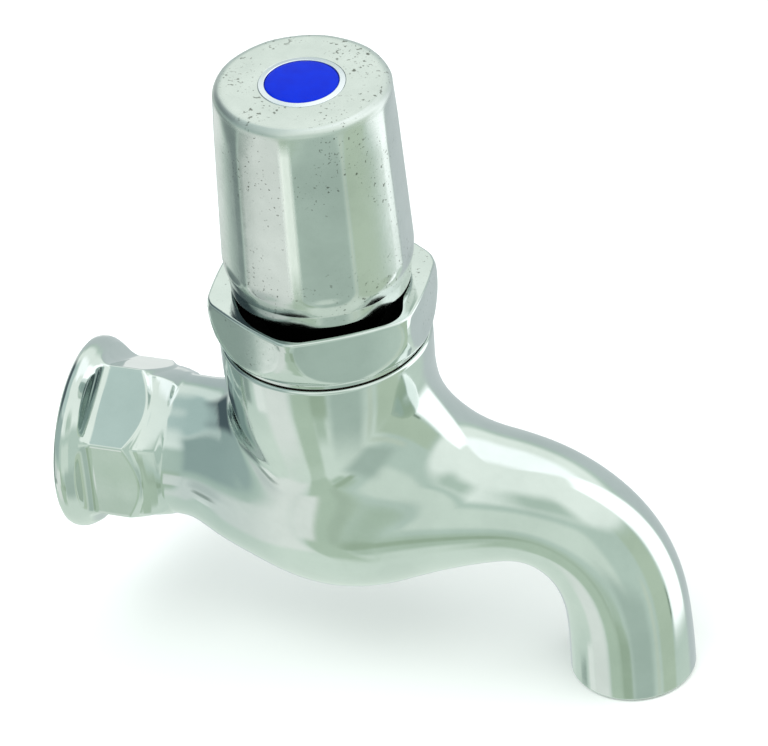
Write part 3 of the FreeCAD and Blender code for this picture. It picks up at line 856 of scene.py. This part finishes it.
def threaded_bore():
    """Rows from the middle of the bore's end, along its thread, to the wall face."""
    rows = [inlet_row(19.0, 0.0), inlet_row(19.0, 6.2), inlet_row(15.3, 6.3), inlet_row(14.6, 9.2)]
    for x in np.arange(14.2, 0.2, -0.14):
        wave = np.abs(2 * ((x / PITCH - INLET_ANGLES / TAU) % 1.0) - 1)
        depth = (THREAD_MAJOR - THREAD_MINOR) * np.clip(1.35 * wave - 0.15, 0, 1)
        lead_in = max(0.0, 1.05 - x)
        threaded = THREAD_MINOR + depth * smoothstep(14.1, 12.9, x)
        rows.append(inlet_row(x, np.maximum(threaded, THREAD_MINOR + lead_in)))
    return rows + [inlet_row(0.0, 10.5), inlet_row(0.0, 10.9)]


def onto_body(ring, x):
    """Draws the run-out onto the body's surface and leaves its end just under it."""
    share = smoothstep(18.0, 19.6, x)
    if share == 0:
        return ring
    level = to_surface(ring, 4)
    level = level - 0.05 * smoothstep(19.6, 20.4, x) * (level - [x, 0, INLET_RISE]) / 12.6
    return ring + share * (level - ring)


def joined_normals(verts, rough):
    """Normals that turn into the body's own where the run-out meets it."""
    share = smoothstep(18.6, 19.6, verts[:, 0]) * (np.abs(body_field(verts)) < 0.1)
    return unit(rough + (unit(field_gradient(verts)) - rough) * share[:, None])


def build_inlet():
    stops = np.concatenate([[0, .04, .12, .25, .4, .6], np.arange(0.9, 7.0, 0.2), np.arange(7.0, 12.0, 0.6),
                            np.arange(12.0, 16.0, 0.14), np.arange(16.0, 20.4, 0.3)])
    rows = threaded_bore()
    rows += [onto_body(inlet_row(x, inlet_outside(x), INLET_RISE), x) for x in stops]
    rows += [inlet_row(20.8, 11.0, INLET_RISE), inlet_row(21.0, 0.0, INLET_RISE)]
    verts, faces = grid_mesh(np.array(rows), wrap_rows=False)
    return mesh_piece("tap_inlet", verts, faces, body_chrome, "fixed", ("body",),
                      joined_normals)


# Bonnet: hexagonal ring with a deep well round the gland's tower
WELL = 15.3
BONNET_FOOT = 31.9
BONNET_TOP = 41.4
BONNET_EDGE = 40.95
BONNET_TURN = math.radians(-58.0)
BONNET_REACHES = [17.9, 19.2, 19.2, 18.6, 19.5, 18.6]
BONNET_HEIGHTS = np.concatenate([[31.92], np.linspace(32.1, 40.4, 32), [40.6, 40.8, BONNET_EDGE]])
# Height and the radius to which the corners are turned down
BONNET_CORNERS = [(31.9, 18.3), (33.0, 18.75), (34.7, 19.3), (36.0, 19.55), (38.0, 19.8), (40.0, 19.85),
                  (41.0, 19.65)]
# Gland tower and the shank in the neck: radius, height and rounding
BONNET_INSIDE = [
    (10.4, 34.5, 0.5), (10.4, 39.7, 0.2), (10.1, 40.0, 0.2), (7.9, 40.0, 0), (7.9, 33.0, 0),
    (4.87, 33.0, 0), (4.87, 29.6, 0), (6.8, 29.6, 0), (6.8, 26.0, 0), (6.57, 26.0, 0),
    (6.57, 14.0, 0), (9.6, 14.0, 0.2), (9.6, 20.5, 0), (13.95, 20.5, 0.2), (13.95, 29.0, 0),
]


def bonnet_outside(angle):
    """Radius at each height of the slightly oval hexagon, its corners rounded by wear."""
    hexagon = polygon_radius(angle, BONNET_REACHES, 0.3, BONNET_TURN)
    oval = 0.42 * math.cos(2 * angle - math.radians(42))
    toward_spout = max(math.cos(angle - math.radians(18)), 0) ** 2
    bulge = 0.5 * toward_spout * np.sin(math.pi * (BONNET_HEIGHTS - BONNET_FOOT) / 9.3)
    sides = 0.7 * hexagon + 5.2 - 0.025 * (BONNET_HEIGHTS - 37)
    corners = read_table(BONNET_CORNERS, BONNET_HEIGHTS)
    return smooth_min(sides, corners + oval + bulge, 0.3)


def bonnet_mouth(angle, rim):
    """Radius of the well's mouth, wide open at the front and close to the handle elsewhere."""
    bearing = (math.degrees(angle) + 180) % 360 - 180
    open_part = smoothstep(-146, -110, bearing) * smoothstep(-3, -27, bearing)
    close = WELL + 0.15
    return close + (smooth_min(rim - 0.85, 18.2, 0.4) - close) * open_part


def bonnet_outline(angle):
    outer = bonnet_outside(angle)
    rim = outer[-1]
    mouth = bonnet_mouth(angle, rim)
    foot = [(14.05, 31.2, 0), (18.05, 31.2, 0.12), (18.05, BONNET_FOOT, 0.12)]
    side = [(r, z, 0) for r, z in zip(outer, BONNET_HEIGHTS)]
    edge = [(rim - 0.5 * (1 - math.cos(t)), BONNET_EDGE + 0.45 * math.sin(t), 0) for t in quarter_turns(5)]
    well = [(mouth, BONNET_TOP, 0.12), (mouth - 0.25, 39.6, 0.3)]
    well += [(WELL - 0.05, 36.6, 0.5), (WELL - 0.05, 34.7, 0.5)]
    return rounded(foot + side + edge + well + BONNET_INSIDE, 3)


def build_bonnet():
    verts, faces = grid_mesh(turned_rows(bonnet_outline, 360))
    return mesh_piece("tap_bonnet", verts, faces, bonnet_chrome, "fixed", ("bonnet",))


# Handle: tapered barrel with ten soft flats and a chamfered skirt
FLATS = 10
FLATS_TURN = math.radians(-66.0)
HANDLE_TOP = 82.8
HANDLE_EDGE = 81.6
SKIRT_TOP = 49.8
HANDLE_HEIGHTS = np.concatenate([np.linspace(42.6, 52.0, 48), np.linspace(52.6, 80.4, 30),
                                 np.linspace(80.7, HANDLE_EDGE, 5)])
# Height and radius of the round that the arrises are turned down to
HANDLE_ROUND = [(42.6, 15.78), (45.0, 15.92), (48.2, 16.72), (49.4, 17.0), (82.8, 15.75)]
HANDLE_FOOT = [(12.75, 41.94), (13.0, 41.9), (14.9, 41.9), (15.25, 41.95), (15.5, 42.1), (15.68, 42.32)]
# From the recess in the top, down the screw's hole and out under the skirt: radius and height
HANDLE_INSIDE = [
    (12.0, 82.8), (9.0, 82.8), (7.6, 82.8), (7.5, 82.77), (7.48, 82.7), (7.48, 81.0), (4.6, 81.0),
    (4.6, 67.6), (2.25, 67.6), (2.25, 64.6), (6.3, 64.6), (6.3, 48.2), (6.5, 48.0), (8.4, 48.0),
    (8.6, 48.2), (8.6, 79.6), (8.8, 79.8), (12.6, 79.8), (12.9, 79.5), (14.0, 50.0), (12.65, 42.5),
    (12.65, 42.1),
]


def handle_outside(angle):
    """Radius at each height; the flats fade into a round near the top and under the chamfer."""
    taper = np.interp(HANDLE_HEIGHTS, [SKIRT_TOP, HANDLE_TOP], [16.95, 15.65])
    taper = taper + np.maximum(SKIRT_TOP - HANDLE_HEIGHTS, 0) * 0.039
    roundness = 0.26 + 0.6 * smoothstep(74.0, 82.0, HANDLE_HEIGHTS)
    roundness = roundness + 0.74 * smoothstep(49.4, 47.2, HANDLE_HEIGHTS)
    flats = math.cos(math.pi / FLATS) * polygon_radius(angle, [1.0] * FLATS, 0.055, FLATS_TURN)
    faceted = taper * flats
    faceted = faceted + (taper * 0.975 - faceted) * roundness
    return smooth_min(faceted, read_table(HANDLE_ROUND, HANDLE_HEIGHTS), 0.25)


def handle_outline(angle):
    outer = handle_outside(angle)
    rim = outer[-1]
    edge = [(rim - 1.6 * (1 - math.cos(t)), HANDLE_EDGE + 1.2 * math.sin(t)) for t in quarter_turns(7)]
    return np.array(HANDLE_FOOT + list(zip(outer, HANDLE_HEIGHTS)) + edge + HANDLE_INSIDE)


def build_handle():
    verts, faces = grid_mesh(turned_rows(handle_outline, 480))
    return mesh_piece("tap_handle", verts, faces, handle_chrome, "handle", ("handle",))


def build_button():
    """The index disc with its faint dome, on the stud that holds it in the handle."""
    outline = [(0.0, 76.0), (3.1, 76.0), (3.1, 81.0), (6.28, 81.0), (6.35, 81.1), (6.35, 82.62),
               (6.32, 82.74), (6.25, 82.83), (6.12, 82.9)]
    outline += [(r, 82.93 + 0.36 * (1 - (r / 6.1) ** 2)) for r in np.linspace(5.9, 0.0, 14)]
    verts, faces = grid_mesh(turned_rows(lambda angle: np.array(outline), 192), wrap_columns=False)
    return mesh_piece("index_disc", verts, faces, blue, "handle", ("index_button",))


def build_ring():
    outline = rounded([(6.4, 81.0, 0), (7.46, 81.0, 0), (7.46, 82.82, 0.1), (6.4, 82.98, 0.2)], 5)
    verts, faces = grid_mesh(turned_rows(lambda angle: outline, 192))
    return mesh_piece("index_collar", verts, faces, trim_chrome, "handle", ("index_ring",))


build_body()
build_inlet()
build_bonnet()
build_handle()
build_button()
build_ring()

# Solids that show as they are, with materials of their own
FINISHES = {
    "valve_seat": brass, "bonnet_washer": fibre, "gland_washer": brass, "gland_packing": packing,
    "gland_follower": brass, "gland_nut": brass, "jumper_valve": brass, "jumper_washer": rubber,
    "jumper_keeper": steel, "jumper_nut": brass, "jumper_clip": steel, "spindle": brass,
    "spline_bush": nylon, "handle_screw": steel, "screw_washer": steel,
}
for node, material in FINISHES.items():
    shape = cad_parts[node].data
    shape.materials.clear()
    shape.materials.append(material)


# Studio: pale floor, soft light
def build_floor():
    mesh = bpy.data.meshes.new("floor")
    bm = bmesh.new()
    bmesh.ops.create_circle(bm, cap_ends=True, segments=96, radius=2.5)
    bm.to_mesh(mesh)
    bm.free()
    floor = bpy.data.objects.new("floor", mesh)
    floor.location = (0.06, 0, cad_low.z - 0.0003)
    bpy.context.scene.collection.objects.link(floor)
    floor.visible_glossy = False
    material, tree, shader = new_material("floor")
    shader.inputs["Roughness"].default_value = 0.9
    shader.inputs["Specular IOR Level"].default_value = 0.0
    tone = noise(tree, object_place(tree), 3, 3, 0.5)
    color = ramp(tree, tone, (0.3, (0.93, 0.93, 0.93)), (0.7, (0.95, 0.95, 0.95)))
    tree.links.new(color, shader.inputs["Base Color"])
    mesh.materials.append(material)


# Surround: soft panels named by the compass bearing and height, in degrees, that they fill.
# Each is (bearing from, to, height from, to, softness of the sides, of the foot and head, colour).
PANELS = [
    (52, 134, -50, 20, 8, 7, (0.62, 0.68, 0.69)),
    (106, 118, -24, -14, 3, 3, (0.92, 0.95, 0.94)),
    (134, 152, -37, 40, 5, 6, (0.92, 0.95, 0.93)),
    (157, 197, -35.5, -8, 6, 2, (0.26, 0.32, 0.31)),
    (119, 240, 46, 74, 10, 5, (0.63, 0.76, 0.74)),
    (182, 243, -5, 44, 6, 6, (0.44, 0.55, 0.53)),
    (138, 193, 9, 49, 8, 8, (0.11, 0.15, 0.17)),
    (175, 191, -39.5, -34.3, 3.5, 0.6, (0.34, 0.43, 0.39)),
    (-150, -118, -54, -15, 6, 6, (0.94, 0.97, 0.94)),
    (-156, -132, -27, -15, 7, 4, (0.72, 0.77, 0.75)),
    (-158, -140.5, -33.2, -28.3, 4, 1.2, (0.42, 0.48, 0.45)),
    (-162, -148, -41, -34.3, 3.5, 0.7, (1.02, 1.05, 1.02)),
    (-115, -92, -62, -10, 3, 6, (0.56, 0.68, 0.56)),
    (-120, -107.5, -33.5, -15, 3, 2.5, (0.94, 0.97, 0.94)),
    (-99, -94, -36, -14, 2, 4, (0.50, 0.61, 0.50)),
    (-92, -80, -50, -28, 3, 4, (0.53, 0.65, 0.54)),
    (-94, -76, -41, -34, 3, 2, (0.43, 0.54, 0.42)),
    (-95, -58, -19, 17, 5, 5, (0.80, 0.90, 0.82)),
    (-74, -37, -52, -16, 6, 9, (0.50, 0.61, 0.55)),
    (-85, -47, 28, 52, 10, 9, (0.58, 0.70, 0.62)),
    (-31, -25, -50, -8, 2, 6, (0.68, 0.77, 0.67)),
    (-20, 9, -50, 24, 3, 7, (0.58, 0.69, 0.56)),
    (8, 11, -29, -16, 1, 3, (0.24, 0.32, 0.25)),
    (13, 50, -33.0, 58, 3.5, 3.5, (1.60, 1.62, 1.64)),
    (40, 106, 48, 84, 8, 6, (1.40, 1.43, 1.45)),
]
FLOOR_GLOW = (0.80, 0.90, 0.82)
WALL_GLOW = (0.62, 0.74, 0.67)
CEILING_GLOW = (1.06, 1.12, 1.07)
FLOOR_TO_WALL = (-50, -30)
WALL_TO_CEILING = (22, 34)
# Panels that end beyond this bearing are told by the bearing counted from 0 to 360
NEAR_SEAM = 170


def soft_band(tree, value, low, high, soft):
    """1 between low and high, with soft sides."""
    enters = spread(tree, value, low - soft, low + soft, curve="SMOOTHSTEP")
    leaves = spread(tree, value, high - soft, high + soft, curve="SMOOTHSTEP")
    return math_node(tree, "SUBTRACT", enters, leaves)


def build_surround():
    world = bpy.data.worlds.new("studio")
    bpy.context.scene.world = world
    world.use_nodes = True
    tree = world.node_tree
    x, y, z = parts_of(tree, tree.nodes.new("ShaderNodeTexCoord").outputs["Generated"])
    degrees = 180 / math.pi
    height = product(tree, math_node(tree, "ARCSINE", z), degrees)
    bearing = product(tree, math_node(tree, "ARCTAN2", y, x), degrees)
    full_circle = math_node(tree, "WRAP", bearing, 360.0, 0.0)
    sky = blend(tree, spread(tree, height, *FLOOR_TO_WALL, curve="SMOOTHSTEP"), FLOOR_GLOW, WALL_GLOW)
    sky = blend(tree, spread(tree, height, *WALL_TO_CEILING, curve="SMOOTHSTEP"), sky, CEILING_GLOW)
    for start, end, foot, head, soft_sides, soft_ends, color in PANELS:
        around = full_circle if end > NEAR_SEAM else bearing
        sideways = soft_band(tree, around, start, end, soft_sides)
        upright = soft_band(tree, height, foot, head, soft_ends)
        sky = blend(tree, product(tree, sideways, upright), sky, color)
    tree.links.new(sky, tree.nodes["Background"].inputs["Color"])


LAMP_SIZE = 0.9
LAMP_TARGET = (0.055, 0, 0.02)


def soft_box(name, place, power):
    """A broad light aimed at the tap that isn't itself mirrored in the chrome."""
    light = bpy.data.lights.new(name, "AREA")
    light.shape = "RECTANGLE"
    light.size = LAMP_SIZE
    light.size_y = LAMP_SIZE
    light.energy = power
    lamp = bpy.data.objects.new(name, light)
    lamp.location = place
    lamp.rotation_mode = "QUATERNION"
    lamp.rotation_quaternion = (Vector(LAMP_TARGET) - Vector(place)).to_track_quat("-Z", "Y")
    lamp.visible_glossy = False
    bpy.context.scene.collection.objects.link(lamp)


# Camera at the photograph's angle, found by fitting the object's outline
AZIMUTH = math.radians(20.95)
ELEVATION = math.radians(37.22)
ROLL = math.radians(5.22)
TARGET = Vector((0.05831, 0, 0.02264))
DISTANCE = 0.88281
FOCAL_PIXELS = 5043.34
IMAGE_WIDTH = 768
SENSOR = 36.0


def place_camera():
    level = math.cos(ELEVATION)
    back = Vector((math.sin(AZIMUTH) * level, -math.cos(AZIMUTH) * level, math.sin(ELEVATION)))
    right = Vector((math.cos(AZIMUTH), math.sin(AZIMUTH), 0))
    above = back.cross(right)
    rolled_right = right * math.cos(ROLL) - above * math.sin(ROLL)
    rolled_up = right * math.sin(ROLL) + above * math.cos(ROLL)
    camera = bpy.data.objects.new("camera", bpy.data.cameras.new("camera"))
    turn = Matrix((rolled_right, rolled_up, back)).transposed()
    camera.matrix_world = turn.to_4x4()
    camera.location = TARGET + back * DISTANCE
    camera.data.sensor_width = SENSOR
    camera.data.lens = FOCAL_PIXELS * SENSOR / IMAGE_WIDTH
    camera.data.clip_start = 0.05
    camera.data.clip_end = 20
    bpy.context.scene.collection.objects.link(camera)
    bpy.context.scene.camera = camera


build_floor()
build_surround()
soft_box("key", (-0.4, -0.5, 1.0), 8)
soft_box("fill", (0.7, 0.3, 1.0), 3.4)
place_camera()
bpy.context.scene.view_settings.view_transform = "Standard"
